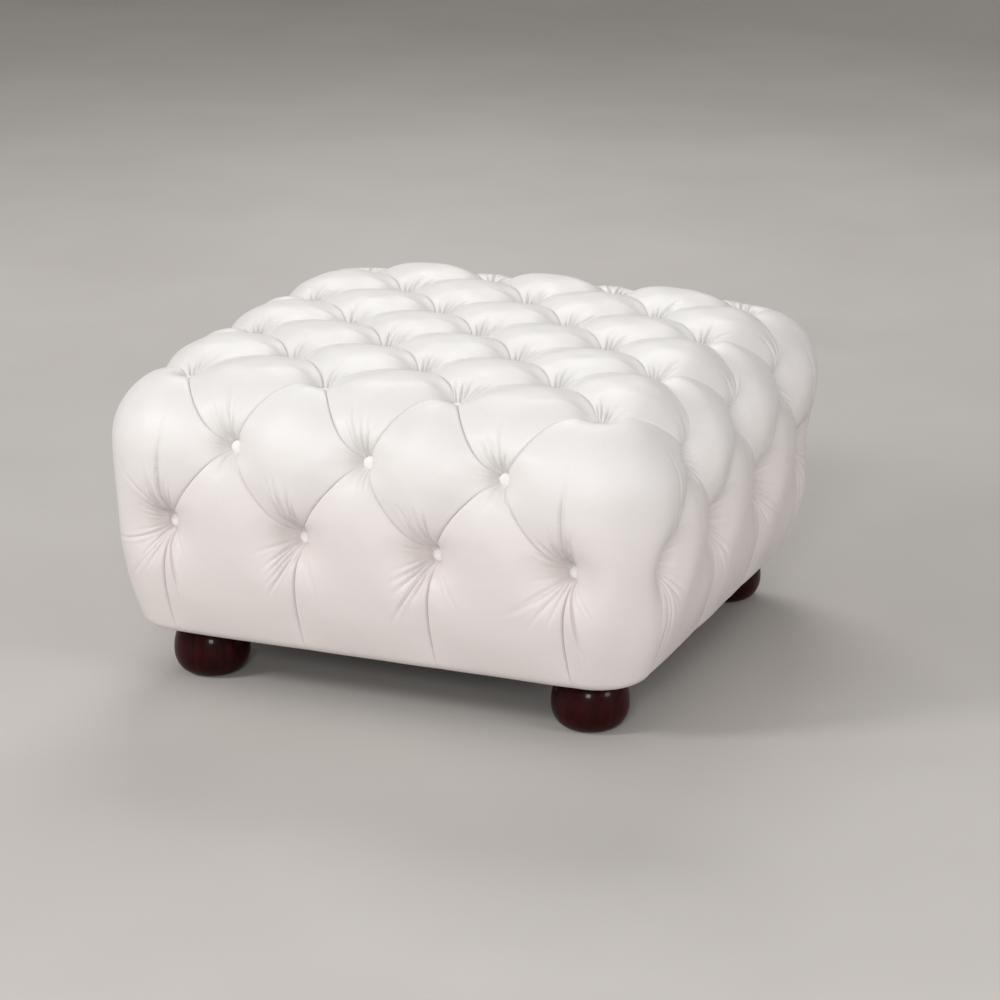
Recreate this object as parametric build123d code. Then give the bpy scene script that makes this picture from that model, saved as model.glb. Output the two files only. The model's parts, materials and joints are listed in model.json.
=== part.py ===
from build123d import *
from math import cos, hypot, pi, sin
import os

# A square footstool in millimetres. It stands on the floor at Z = 0, centred on the origin.
# Its front is at -Y and its right side at +X.

# Block
block_width = 760
block_height = 426
edge_radius = 100
top_crown = 3
widest_drop = 96
draw_in = 36
draw_in_power_share = 2.5

# Buttoning
button_pitch = 182
row_1_drop = 82
row_2_drop = 199
top_button_depth = 24
side_button_depth = 40
half_row_shares = (-1, 0, 1)
full_row_shares = (-1.5, -0.5, 0.5, 1.5)
crease_depth_share = 0.5
pleat_depth_share = 0.12
pillow_power_share = 2.6
crease_power_share = 2.0
pillow_inner_shares = (0.28, 0.5, 0.72)
skirt_inner_shares = (0.16, 0.36, 0.56, 0.75)
seat_margin = 1

# Cover
pit_wall = 4
hem_thickness = 3
hem_width = 54
chamfer_share = 0.95

# Buttons and twine
button_radius = 9
button_rim = 1.2
button_thickness = 4.5
button_crown_share = 0.6
button_sides = 8
twine_radius = 1
twine_sides = 6
knot_radius = 3
knot_thickness = 3

# Foam
top_foam_height = 62
soft_clearance = 0.3

# Frame
frame_inset = 75
deck_thickness = 12
deck_corner_radius = 30
panel_thickness = 5
rail_thickness = 16
upper_rail_height = 45
lower_rail_height = 60
post_size = 40
post_lap = 25
brace_thickness = 18
block_size = 90
block_thickness = 22

# Feet
foot_inset = 115
foot_height = 72.2
foot_radius = 50
foot_sole_radius = 27
foot_neck_radius = 34
foot_neck_height = 6
foot_widest_share = 0.46
foot_sides = 20
foot_turn_shares = (0, 0.25, 0.5, 0.75, 1)
bolt_radius = 4
bolt_depth_in_foot = 38
bolt_length = 60
nut_barrel_radius = 6
nut_flange_radius = 11
nut_flange_thickness = 1.5
nut_barrel_length = 12
dust_thickness = 0.8
dust_inset = 76
rod_sides = 12
fit_clearance = 0.1

# Places that follow from the sizes
half_width = block_width / 2
corner_centre = half_width - edge_radius
edge_centre_height = block_height - top_crown - edge_radius
widest_height = block_height - widest_drop
base_height = foot_height + dust_thickness
row_1_height = block_height - row_1_drop
row_2_height = block_height - row_2_drop
frame_base = base_height + hem_thickness
frame_half = half_width - frame_inset
deck_top = block_height - top_foam_height
deck_base = deck_top - deck_thickness
panel_inner = frame_half - panel_thickness
rail_inner = panel_inner - rail_thickness
foot_offset = half_width - foot_inset
side_names = ("back", "left", "front", "right")
corner_names = ("back_right", "back_left", "front_left", "front_right")

# The lines of the grid on a panel, whose outer cells lie flat under the buttons
seat_reach = button_radius + seat_margin
half_pitch = button_pitch / 2
seat_share = seat_reach / half_pitch
pillow_shares = (0, seat_share, *pillow_inner_shares, 1 - seat_share, 1)
skirt_seat = seat_reach * hypot(half_pitch, row_2_drop - row_1_drop) / half_pitch
skirt_shares = (0, *skirt_inner_shares, 1 - skirt_seat / (row_2_height - base_height), 1)

# The corners of each kind of panel that have a button. Skirts and lower panels have them only above
buttoned_corners = {"full": (0, 1, 2, 3), "upper": (1, 2, 3), "skirt": (2, 3), "lower": (2,)}


def turned(point, quarter_turns):
    """A point turned about the Z axis by quarter turns."""
    for _ in range(quarter_turns):
        point = Vector(-point.Y, point.X, point.Z)
    return point


def swapped(point):
    """A point mirrored in the block's diagonal plane."""
    return Vector(point.Y, point.X, point.Z)


def clamped(value, limit):
    return max(-limit, min(limit, value))


def drawn_in_by(height):
    """How far the sides are drawn in at a height: nothing at the widest level, most at the base."""
    drop_share = max(0, (widest_height - height) / (widest_height - base_height))
    return draw_in * drop_share ** draw_in_power_share


def pushed_out(point):
    """The place on the unbuttoned block over a point of its sharp outline, with the outward normal."""
    centre = Vector(
        clamped(point.X, corner_centre),
        clamped(point.Y, corner_centre),
        min(point.Z, edge_centre_height),
    )
    normal = (point - centre).normalized()
    place = centre + normal * edge_radius
    crown_share = (1 - (place.X / half_width) ** 2) * (1 - (place.Y / half_width) ** 2)
    lift = Vector(0, 0, top_crown * crown_share * max(normal.Z, 0))
    level = Vector(normal.X, normal.Y, 0)
    return place + lift - level * drawn_in_by(place.Z), normal


def button_depth(normal):
    """How deep a button is drawn in, which is more on the sides than on the top."""
    up_share = max(normal.Z, 0)
    return top_button_depth * up_share + side_button_depth * (1 - up_share)


def button_pit(spot):
    """The bottom of a button's pit and the outward way there."""
    place, normal = pushed_out(spot)
    return place - normal * button_depth(normal), normal


def seated(place, spot):
    """A place on the unbuttoned block brought down to the flat seat of the button at a spot."""
    pit, normal = button_pit(spot)
    return place - normal * (place - pit).dot(normal)


def button_corner(i, j, last_i, last_j, kind):
    """The corner of a panel whose button the grid point i, j lies under, or None."""
    across = 1 if i >= last_i - 1 else 0 if i <= 1 else None
    along = 1 if j >= last_j - 1 else 0 if j <= 1 else None
    corner = {(0, 0): 0, (1, 0): 1, (1, 1): 2, (0, 1): 3}.get((across, along))
    return corner if corner in buttoned_corners[kind] else None


def sunk_share(u_share, v_share, kind):
    """How far the leather is drawn in on a panel, as a share of the button depth.

    A full panel has creases on all sides. A skirt has a crease above and a pleat beside it.
    Upper and lower corner panels run on over the block's corner at their side u = 0.
    """
    u_away = abs(2 * u_share - 1)
    v_away = abs(2 * v_share - 1)
    base = crease_depth_share
    u_edge, v_edge = u_away, v_away
    if kind == "upper":
        u_edge, v_edge = u_share, v_share
    if kind in ("skirt", "lower"):
        fade_share = v_share ** crease_power_share
        base = crease_depth_share * fade_share + pleat_depth_share * (1 - fade_share)
        v_away = v_share
        u_edge = u_share
        v_edge = v_share if kind == "skirt" else 0
    crease = base + (1 - base) * (u_away * v_away) ** crease_power_share
    pillow = (1 - u_edge ** pillow_power_share) * (1 - v_edge ** pillow_power_share)
    return crease * (1 - pillow)


def panel(corners, v_shares, kind):
    """The flat facets of one panel of leather between four corners of the sharp outline."""
    grid = []
    last_i, last_j = len(pillow_shares) - 1, len(v_shares) - 1
    for i, u_share in enumerate(pillow_shares):
        line = []
        for j, v_share in enumerate(v_shares):
            near = corners[0] * (1 - u_share) + corners[1] * u_share
            far = corners[3] * (1 - u_share) + corners[2] * u_share
            place, normal = pushed_out(near * (1 - v_share) + far * v_share)
            corner = button_corner(i, j, last_i, last_j, kind)
            if corner is None:
                line.append(place - normal * button_depth(normal) * sunk_share(u_share, v_share, kind))
            else:
                line.append(seated(place, corners[corner]))
        grid.append(line)
    facets = []
    middle = last_i / 2
    for i in range(last_i):
        for j in range(last_j):
            a, b = grid[i][j], grid[i + 1][j]
            c, d = grid[i + 1][j + 1], grid[i][j + 1]
            if (i < middle) == (j < middle):
                facets += [(a, b, d), (b, c, d)]
            else:
                facets += [(a, b, c), (a, c, d)]
    return facets


def top_spot(column, row):
    """A place on the top in pitches from the middle, where the outer row lies at the rounded edge."""
    outer = full_row_shares[-1]
    x = clamped(column, outer) * button_pitch
    y = clamped(row, outer) * button_pitch
    if abs(column) == outer:
        x = corner_centre * column / outer
    if abs(row) == outer:
        y = corner_centre * row / outer
    return Vector(x, y, block_height)


def side_spot(column, height):
    """A place on the sharp outline of the back face."""
    return Vector(column * button_pitch, half_width, height)


def sewn_solid(outlines):
    """A solid closed by flat faces, each given by its outline."""
    faces = [Face(Wire.make_polygon(outline, close=True)) for outline in outlines]
    return Solid(Shell(Face.sew_faces(faces)[0]))


def faceted_round(sections, sides):
    """A round piece about the Z axis with flat sides, from its radius at each height."""
    rings = []
    for radius, height in sections:
        swings = [2 * pi * k / sides for k in range(sides)]
        rings.append([Vector(radius * cos(swing), radius * sin(swing), height) for swing in swings])
    outlines = [rings[0], rings[-1]]
    for low, high in zip(rings, rings[1:]):
        outlines += [(low[k - 1], low[k], high[k], high[k - 1]) for k in range(sides)]
    return sewn_solid(outlines)


def diamond_facets():
    """The twelve diamonds that lie wholly on the top."""
    step = full_row_shares[-2]
    facets = []
    for across in full_row_shares[1:-1]:
        for along in half_row_shares:
            diamond = [
                top_spot(across, along - step),
                top_spot(across + step, along),
                top_spot(across, along + step),
                top_spot(across - step, along),
            ]
            facets += panel(diamond, pillow_shares, "full")
            facets += panel([swapped(point) for point in reversed(diamond)], pillow_shares, "full")
    return facets


def face_panels():
    """The panels of one side face: corners, shares and kind of each."""
    step = full_row_shares[-2]
    inner, outer = half_row_shares[-1], full_row_shares[-1]
    panels = []
    for column in half_row_shares:
        over_edge = [
            top_spot(column, inner),
            top_spot(column - step, outer),
            side_spot(column, row_1_height),
            top_spot(column + step, outer),
        ]
        panels.append((over_edge, pillow_shares, "full"))
        for side in (-step, step):
            skirt = [
                side_spot(column, base_height),
                side_spot(column + side, base_height),
                side_spot(column + side, row_2_height),
                side_spot(column, row_1_height),
            ]
            panels.append((skirt, skirt_shares, "skirt"))
    for column in full_row_shares[1:-1]:
        side_diamond = [
            top_spot(column, outer),
            side_spot(column - step, row_1_height),
            side_spot(column, row_2_height),
            side_spot(column + step, row_1_height),
        ]
        panels.append((side_diamond, pillow_shares, "full"))
    middle = Vector(half_width, half_width, row_2_height)
    foot = Vector(half_width, half_width, base_height)
    upper = [middle, side_spot(outer, row_2_height), side_spot(inner, row_1_height), top_spot(outer, outer)]
    lower = [foot, side_spot(outer, base_height), side_spot(outer, row_2_height), middle]
    for corners, shares, kind in ((upper, pillow_shares, "upper"), (lower, skirt_shares, "lower")):
        panels.append((corners, shares, kind))
        panels.append(([swapped(point) for point in corners], shares, kind))
    return panels


def tufted_block():
    """The whole buttoned form, closed by its flat underside."""
    facets = diamond_facets()
    for quarter_turns in range(len(side_names)):
        for corners, shares, kind in face_panels():
            facets += panel([turned(point, quarter_turns) for point in corners], shares, kind)
    skin = Face.sew_faces([Face(Wire.make_polygon(facet, close=True)) for facet in facets])[0]
    rim = skin.edges().group_by(Axis.Z)[0]
    underside = Face(Wire.combine(rim)[0])
    return Solid(Shell(Face.sew_faces(list(skin) + [underside])[0]))


# The space under the cover holds the foam and the frame
cavity_half = half_width - pit_wall - max(
    side_button_depth + drawn_in_by(row_2_height),
    draw_in + pleat_depth_share * side_button_depth,
)
cavity_top = block_height - top_crown - top_button_depth - pit_wall
cavity_corner = cavity_half - corner_centre


def cavity_form(clearance):
    """The inside of the cover, with its upper edges cut back below the buttons there."""
    half = cavity_half - clearance
    outline = RectangleRounded(2 * half, 2 * half, cavity_corner - clearance)
    form = Pos(0, 0, frame_base) * extrude(outline, cavity_top - clearance - frame_base)
    upper_edges = form.faces().sort_by(Axis.Z)[-1].edges()
    return chamfer(upper_edges, (cavity_corner - clearance) * chamfer_share)


def box_between(low, high):
    """A box from its lowest to its highest corner."""
    size = Vector(*high) - Vector(*low)
    return Pos(*low) * Box(size.X, size.Y, size.Z, align=(Align.MIN, Align.MIN, Align.MIN))


def centred_box(half, low, high):
    """A square block about the Z axis between two heights."""
    return box_between((-half, -half, low), (half, half, high))


def tufted_cover():
    opening = centred_box(cavity_half - hem_width, base_height, frame_base)
    return tufted_block() - cavity_form(0) - opening


# Buttons and twines, each with the place where the leather is drawn in and the way it is drawn


def top_buttons():
    spots = [top_spot(i, j) for i in half_row_shares for j in half_row_shares]
    return spots + [top_spot(i, j) for i in full_row_shares for j in full_row_shares]


def row_1_buttons():
    return [side_spot(column, row_1_height) for column in half_row_shares]


def row_2_buttons():
    return [side_spot(column, row_2_height) for column in full_row_shares]


def button():
    """A covered button that faces up, a clearance above the bottom of its pit at the origin."""
    rim = soft_clearance + button_rim
    top = soft_clearance + button_thickness
    sections = ((button_radius, soft_clearance), (button_radius, rim), (button_radius * button_crown_share, top))
    return faceted_round(sections, button_sides)


def buttons_at(spots, quarter_turns):
    """A covered button in each pit of a group."""
    made = []
    for spot in spots:
        pit, normal = button_pit(turned(spot, quarter_turns))
        made.append(Plane(origin=pit, z_dir=normal).location * button())
    return Compound(children=made)


def strand(radius, sides, start, way, length):
    """A straight strand with flat sides."""
    return Plane(origin=start, z_dir=way).location * extrude(RegularPolygon(radius, sides), length)


def twine_runs(spots, quarter_turns):
    """Start, way, length to the board's far face for the twine behind each button of a group."""
    runs = []
    for spot in spots:
        pit = button_pit(spot)[0]
        if spot.Z == block_height:
            start = Vector(pit.X, pit.Y, cavity_top - soft_clearance)
            runs.append((start, Vector(0, 0, -1), start.Z - deck_base))
            continue
        far = rail_inner if spot.Z == row_1_height else panel_inner
        start = Vector(pit.X, cavity_half - soft_clearance, pit.Z)
        inward = turned(Vector(0, -1, 0), quarter_turns)
        runs.append((turned(start, quarter_turns), inward, start.Y - far))
    return runs


def twines(runs):
    """Button twines, each with the knot that holds it behind its board."""
    made = []
    for start, way, length in runs:
        line = strand(twine_radius, twine_sides, start, way, length)
        knot = strand(knot_radius, twine_sides, start + way * length, way, knot_thickness)
        made.append(line + knot)
    return Compound(children=made)


def twine_holes(runs):
    """Cutters for the holes that the twines pass."""
    radius = twine_radius + soft_clearance
    return [
        strand(radius, twine_sides, start - way * pit_wall, way, length + pit_wall + fit_clearance)
        for start, way, length in runs
    ]


top_runs = twine_runs(top_buttons(), 0)
side_runs = [twine_runs(row_1_buttons() + row_2_buttons(), k) for k in range(len(side_names))]


# Foam


def foam_body():
    """All the foam under the cover, hollowed for the frame."""
    room = frame_half + soft_clearance
    return cavity_form(soft_clearance) - centred_box(room, frame_base, deck_top)


def foam_top():
    slab = foam_body() & centred_box(half_width, deck_top, block_height)
    return slab - twine_holes(top_runs)


def foam_side(quarter_turns):
    """One side pad, mitred to its neighbours at the corners."""
    reach = half_width
    wedge = make_face(Polyline((0, 0), (reach, reach), (-reach, reach), close=True))
    sector = Pos(0, 0, frame_base) * extrude(wedge, deck_top - frame_base)
    pad = foam_body() & sector.rotate(Axis.Z, 90 * quarter_turns)
    return pad - twine_holes(side_runs[quarter_turns])


# Frame


def deck_board():
    outline = RectangleRounded(2 * frame_half, 2 * frame_half, deck_corner_radius)
    board = Pos(0, 0, deck_base) * extrude(outline, deck_thickness)
    return board - twine_holes(top_runs)


def rail(quarter_turns, low, height):
    """A rail behind the side panel: the front and back rails run through, the others fit between."""
    reach = panel_inner if quarter_turns % 2 == 0 else rail_inner
    bar = box_between((-reach, rail_inner, low), (reach, panel_inner, low + height))
    return bar.rotate(Axis.Z, 90 * quarter_turns)


def upper_rail(quarter_turns):
    bar = rail(quarter_turns, deck_base - upper_rail_height, upper_rail_height)
    return bar - twine_holes(side_runs[quarter_turns])


def side_panel(quarter_turns):
    reach = frame_half if quarter_turns % 2 == 0 else panel_inner
    sheet = box_between((-reach, panel_inner, frame_base), (reach, frame_half, deck_base))
    return sheet.rotate(Axis.Z, 90 * quarter_turns) - twine_holes(side_runs[quarter_turns])


def corner_post(quarter_turns):
    low = frame_base + block_thickness
    high = deck_base - upper_rail_height + post_lap
    inner = rail_inner - post_size
    return box_between((inner, inner, low), (rail_inner, rail_inner, high)).rotate(Axis.Z, 90 * quarter_turns)


def deck_brace(side):
    """A brace under the deck, midway between two lines of twine."""
    line = side * button_pitch * (half_row_shares[-1] + full_row_shares[-2]) / 2
    half = brace_thickness / 2
    low, high = deck_base - upper_rail_height, deck_base
    return box_between((line - half, -rail_inner, low), (line + half, rail_inner, high))


def foot_spot(height):
    return Vector(foot_offset, foot_offset, height)


nut_top = frame_base + block_thickness


def rod(radius, low, high):
    """A bolt, barrel or bore about the Z axis, with flat sides."""
    return Pos(0, 0, low) * extrude(RegularPolygon(radius, rod_sides), high - low)


def nut_form(clearance):
    """A threaded insert's flange and barrel, with its top at height zero."""
    flange = rod(nut_flange_radius + clearance, -nut_flange_thickness - clearance, 0)
    return flange + rod(nut_barrel_radius + clearance, -nut_barrel_length - clearance, 0)


def t_nut():
    return nut_form(0) - rod(bolt_radius + fit_clearance, -nut_barrel_length, 0)


def foot_block(quarter_turns):
    """The corner block that takes a foot's bolt."""
    inner = rail_inner - block_size
    body = box_between((inner, inner, frame_base), (rail_inner, rail_inner, nut_top))
    bolt_hole = rod(bolt_radius + fit_clearance, -block_thickness, 0)
    pocket = nut_form(fit_clearance)
    cuts = [Pos(*foot_spot(nut_top)) * cut for cut in (bolt_hole, pocket)]
    return (body - cuts).rotate(Axis.Z, 90 * quarter_turns)


# Feet


def foot_sections():
    """Radius and height up a bun foot: a flat sole, a full round belly and a short neck."""
    neck_base = foot_height - foot_neck_height
    widest = neck_base * foot_widest_share
    sections = []
    for turn in foot_turn_shares:
        swing = pi / 2 * turn
        sole_reach = (foot_radius - foot_sole_radius) * sin(swing)
        sections.append((foot_sole_radius + sole_reach, widest * (1 - cos(swing))))
    for turn in foot_turn_shares[1:]:
        swing = pi / 2 * turn
        neck_reach = (foot_radius - foot_neck_radius) * cos(swing)
        sections.append((foot_neck_radius + neck_reach, widest + (neck_base - widest) * sin(swing)))
    return sections + [(foot_neck_radius, foot_height)]


def bun_foot(quarter_turns):
    """A turned bun foot with the hole for its bolt."""
    hole = rod(bolt_radius + fit_clearance, foot_height - bolt_depth_in_foot - fit_clearance, foot_height)
    foot = faceted_round(foot_sections(), foot_sides) - hole
    return (Pos(*foot_spot(0)) * foot).rotate(Axis.Z, 90 * quarter_turns)


def hanger_bolt():
    low = foot_height - bolt_depth_in_foot
    return rod(bolt_radius, low, low + bolt_length)


def at_each_foot(piece, height):
    """One copy of a piece over each foot."""
    placed = Pos(*foot_spot(height)) * piece
    return Compound(children=[placed.rotate(Axis.Z, 90 * k) for k in range(len(corner_names))])


def dust_cover():
    """The thin cloth under the frame, holed for the bolts."""
    cloth = centred_box(half_width - dust_inset, foot_height, base_height)
    hole = Pos(*foot_spot(0)) * rod(bolt_radius + soft_clearance, foot_height, base_height)
    return cloth - [hole.rotate(Axis.Z, 90 * k) for k in range(len(corner_names))]


nodes = {
    "tufted_cover": tufted_cover(),
    "foam_top": foam_top(),
    "deck_board": deck_board(),
    "dust_cover": dust_cover(),
    "deck_brace_left": deck_brace(-1),
    "deck_brace_right": deck_brace(1),
    "top_buttons": buttons_at(top_buttons(), 0),
    "top_twines": twines(top_runs),
    "hanger_bolts": at_each_foot(hanger_bolt(), 0),
    "t_nuts": at_each_foot(t_nut(), nut_top),
}
for k, side in enumerate(side_names):
    nodes[f"foam_{side}"] = foam_side(k)
    nodes[f"panel_{side}"] = side_panel(k)
    nodes[f"upper_rail_{side}"] = upper_rail(k)
    nodes[f"lower_rail_{side}"] = rail(k, frame_base, lower_rail_height)
    nodes[f"buttons_{side}"] = buttons_at(row_1_buttons() + row_2_buttons(), k)
    nodes[f"twines_{side}"] = twines(side_runs[k])
for k, corner in enumerate(corner_names):
    nodes[f"post_{corner}"] = corner_post(k)
    nodes[f"foot_block_{corner}"] = foot_block(k)
    nodes[f"foot_{corner}"] = bun_foot(k)

os.makedirs("parts", exist_ok=True)
for name, shape in nodes.items():
    export_step(shape, f"parts/{name}.step")
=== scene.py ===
import json
import math

import bpy
import numpy as np
from mathutils import Matrix, Vector


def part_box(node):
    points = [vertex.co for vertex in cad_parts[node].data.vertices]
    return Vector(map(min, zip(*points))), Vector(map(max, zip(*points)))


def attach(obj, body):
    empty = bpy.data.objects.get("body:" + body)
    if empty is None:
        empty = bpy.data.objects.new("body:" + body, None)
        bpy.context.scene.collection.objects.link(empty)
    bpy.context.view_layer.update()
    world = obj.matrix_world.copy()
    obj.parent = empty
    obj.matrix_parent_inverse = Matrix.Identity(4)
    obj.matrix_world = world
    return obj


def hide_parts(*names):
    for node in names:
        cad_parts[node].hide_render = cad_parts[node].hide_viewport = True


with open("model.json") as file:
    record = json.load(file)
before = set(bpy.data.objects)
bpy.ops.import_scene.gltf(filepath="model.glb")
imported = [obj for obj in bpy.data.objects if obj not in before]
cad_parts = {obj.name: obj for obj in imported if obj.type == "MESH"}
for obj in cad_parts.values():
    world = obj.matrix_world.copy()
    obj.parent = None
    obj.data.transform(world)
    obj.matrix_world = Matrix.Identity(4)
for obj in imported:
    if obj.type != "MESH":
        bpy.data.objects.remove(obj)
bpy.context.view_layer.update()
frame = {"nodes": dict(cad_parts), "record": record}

# The block's sizes in metres, as the model has them
HALF = 0.380
EDGE_RADIUS = 0.100
HEIGHT = 0.426
CROWN = 0.003
WIDEST = 0.330
BASE = 0.073
DRAW_IN = 0.036
DRAW_IN_POWER = 3.0
CORNER = HALF - EDGE_RADIUS
EDGE_HEIGHT = HEIGHT - CROWN - EDGE_RADIUS

# How the top falls towards the block's corners: how far, from which share of the half width and over which
CORNER_DROP = 0.008
CORNER_DROP_FROM = 0.30
CORNER_DROP_OVER = 0.55
CORNER_DROP_POWER = 1.5

# The buttoning
PITCH = 0.182
ROW_1 = 0.344
ROW_2 = 0.227
TOP_DEPTH = 0.024
SIDE_DEPTH = 0.040
HALF_ROW = (-1, 0, 1)
FULL_ROW = (-1.5, -0.5, 0.5, 1.5)
SIDE_NAMES = ("back", "left", "front", "right")

# The folds between the buttons: a wide draw, steeper on the upper side, with a thin crevice and a lip over it
TOP_CREASE = 0.0050
FRONT_CREASE = 0.0056
SIDE_CREASE = 0.0085
PLEAT_DEPTH = 0.0026
DEPTH_SPREAD = 0.3
CREASE_REACH = 0.024
CREASE_POWER = 1.2
UNDER_REACH = 0.056
UNDER_POWER = 2.4
OVER_STEEP = 0.25
STEEP_REACH = 0.0024
STEEP_LOSS = 0.6
CREVICE = 0.0065
SIDE_CREVICE = 0.55 * CREVICE
CREVICE_REACH = 0.0010
LIP = 0.0024
SIDE_LIP = 0.5 * LIP
LIP_REACH = 0.0026
BUTTON_REACH = 0.018
ENDS_FADE = 7
FOLD_BLEND = 4
FOLD_STEPS = 28

# Pleats are narrower and have a lower lip
PLEAT_NARROWING = 0.62
PLEAT_LIP_SHARE = 0.55

# How far the folds bow away from a straight line
TOP_BOW = 0.008
FRONT_BOW = 0.013
SIDE_BOW = -0.007
PLEAT_BOW = 0.006
BOW_SPREAD = 0.5

# The stuffing: how full each kind of panel stands, and its slow and fine unevenness
PUFF = {"full": 0.0045, "skirt": 0.0030, "upper": 0.0015, "lower": 0.0015}
PUFF_REACH = 0.050
SLOW_SWELL = 0.0010
SLOW_WAVES = (((41, 29, 0), 1.3), ((0, 47, -37), 0.4), ((31, 0, 53), 2.2))
FINE_SWELL = 0.00018
FINE_WAVES = (((173, 0, 131), 0.0), ((-97, 187, 0), 1.0), ((0, 149, 211), 2.0))
SWELL_FADE = 0.012

# The hem, which rolls inwards and turns under the frame, and towards which the folds fade
HEM_ROLL = 0.012
HEM_WIDTH = 0.060
HEM_FADE = 0.060
HEM_DRAWN_SHARE = 0.2
HEM_ROW_SHARES = (0.25, 0.5, 0.75, 1.0)
HEM_LIFT = 0.0004
HEM_ARCH = 3.1

# The pits under the buttons: a seat, a funnel round it, a wide hollow, and a hood of leather over one side
SEAT_RADIUS = 0.0096
SEAT_SLOPE = 0.0034
PIT_START = 0.0100
PIT_REACH = 0.0115
PIT_POWER = 1.05
FUNNEL_END = (0.050, 0.088)
FRONT_OPENING = 0.9
SIDE_OPENING = 2.0
FRONT_HOLLOW = 0.22
SIDE_HOLLOW = 0.44
HOLLOW_REACH = 0.044
TOP_HOOD = 0.0050
SIDE_HOOD = 0.0090
HOOD_POWER = 1.5
HOOD_START, HOOD_PEAK, HOOD_END = 0.0098, 0.0140, 0.0360
PIT_BLEND = 5

# Fans of wrinkles at the buttons of each row: from and to which angle, how many, their length and their depth
WRINKLE_FANS = {
    "top": ((46, 112, 5, 0.054, 0.0040), (150, 195, 2, 0.026, 0.0012), (-30, 20, 2, 0.026, 0.0012),
            (240, 290, 2, 0.022, 0.0008)),
    "ring": ((46, 125, 5, 0.054, 0.0040), (240, 290, 2, 0.028, 0.0010)),
    "row_1": ((80, 122, 4, 0.078, 0.0040), (58, 72, 1, 0.044, 0.0016), (150, 185, 2, 0.038, 0.0014),
              (224, 262, 3, 0.050, 0.0024), (272, 290, 1, 0.036, 0.0012)),
    "row_2": ((86, 126, 4, 0.088, 0.0046), (134, 168, 3, 0.050, 0.0018), (188, 202, 1, 0.066, 0.0022),
              (208, 250, 4, 0.092, 0.0042), (282, 308, 2, 0.066, 0.0017), (322, 345, 1, 0.030, 0.0010)),
}
WRINKLES_REACH = 0.170
FACE_REACH = 0.080
FACE_SHARE = 0.4
DEEPEST_WRINKLE = 0.0048
WRINKLE_WIDTH = 0.0010
SIDE_WRINKLE_WIDTH = 0.0016
WRINKLE_SPREAD = 0.018
WRINKLE_BEND = 5
WRINKLE_JITTER = 0.4
SHORTEST_SHARE = 0.7
LENGTH_SPREAD = 0.55
DEPTH_SHARE = 0.7
DEPTH_BY_LENGTH = 0.45
WRINKLE_START = (0.008, 0.013)
WRINKLE_FADE_FROM = 0.30
RIDGES = ((0.40, 2.0), (0.25, -2.0))

# Long folds beside the block's corners, at their buttons: angle, length, depth, width, bend and spread
CORNER_FOLDS = (
    (101, 0.165, 0.0066, 0.0014, 1.5, 0.006),
    (79, 0.085, 0.0030, 0.0012, -1.2, 0.012),
    (114, 0.085, 0.0024, 0.0012, 1.0, 0.012),
    (89, 0.050, 0.0024, 0.0010, 0.0, 0.014),
    (277, 0.120, 0.0056, 0.0014, -0.4, 0.008),
)
CORNER_FAN_SHARE = 0.55
SIDE_CORNER_SHARE = 0.6
DOWNWARD = 180

# The grid on each panel: fine lines beside its sides and even ones between
FINE_SHARES = (0, 0.0035, 0.0085, 0.015, 0.023, 0.032)
HEM_SHARES = (0, 0.006, 0.018, 0.034, 0.054)
HEM_END = 0.075
GRADING = 0.4
TOP_STEPS = 48
SIDE_STEPS = 64
SKIRT_STEPS = 68

# Panels are joined where their points on the sharp outline fall in one cell, of so many to the metre
WELD_CELLS = 2e5
WELD_SHIFT = 0.12345

# From the key of one hem row, by which it is joined, to the key of the next
KEY_STEP = np.array([0.0, 0.0, -0.01])

# The least length to divide by
TINY = 1e-7

# The fixed numbers that look random: how a place turns into one, and which draw serves which purpose
CHANCE_WAY = (127.1, 311.7, 74.7)
CHANCE_TURN = 7.31
CHANCE_STEP = 12.9898
CHANCE_SCALE = 43758.5453
BOW_DRAW = 1
DEPTH_DRAW = 2
WRINKLE_DRAW = 3
TILT_DRAWS = (5, 6)
LENGTH_DRAW = 7
BEND_DRAW = 13
DRAWS_PER_FAN = 20

# The covered buttons: a low dome in shares of its radius and height, with leather gathered at the rim
BUTTON_RADIUS = 0.009
BUTTON_HEIGHT = 0.0048
BUTTON_LIFT = 0.0003
BUTTON_TILT = 0.10
BUTTON_SIDES = 36
BUTTON_DOME_SHARES = (
    (0.18, 0.992), (0.36, 0.965), (0.54, 0.915), (0.70, 0.835), (0.82, 0.735),
    (0.91, 0.60), (0.97, 0.44), (1.0, 0.27), (0.99, 0.12), (0.94, 0.04),
)
GATHERS = 12
GATHER_DEPTH = 0.010
GATHER_FROM = 0.8

# The bun feet: reach of the sole, belly and neck, then heights of the belly, the neck's rows and the top
FOOT_SOLE = 0.027
FOOT_BELLY = 0.050
FOOT_NECK = 0.034
FOOT_WIDEST = 0.03045
FOOT_NECK_BASE = 0.0662
FOOT_NECK_ROW = FOOT_NECK_BASE + 0.0012
FOOT_TOP = 0.0722
FOOT_SOLE_SHARES = (0, 0.6, 0.93)
FOOT_TOP_SHARES = (1, 0.6, 0)
FOOT_STEPS = 24
FOOT_SIDES = 96

# The dust cover, which sags a little and ripples
DUST_HALF = 0.304
DUST_HEIGHT = 0.0726
DUST_SAG = 0.0030
DUST_STEPS = 56
RIPPLE = 0.0003
RIPPLE_WAYS = ((60, 13), (-9, 45))

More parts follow.
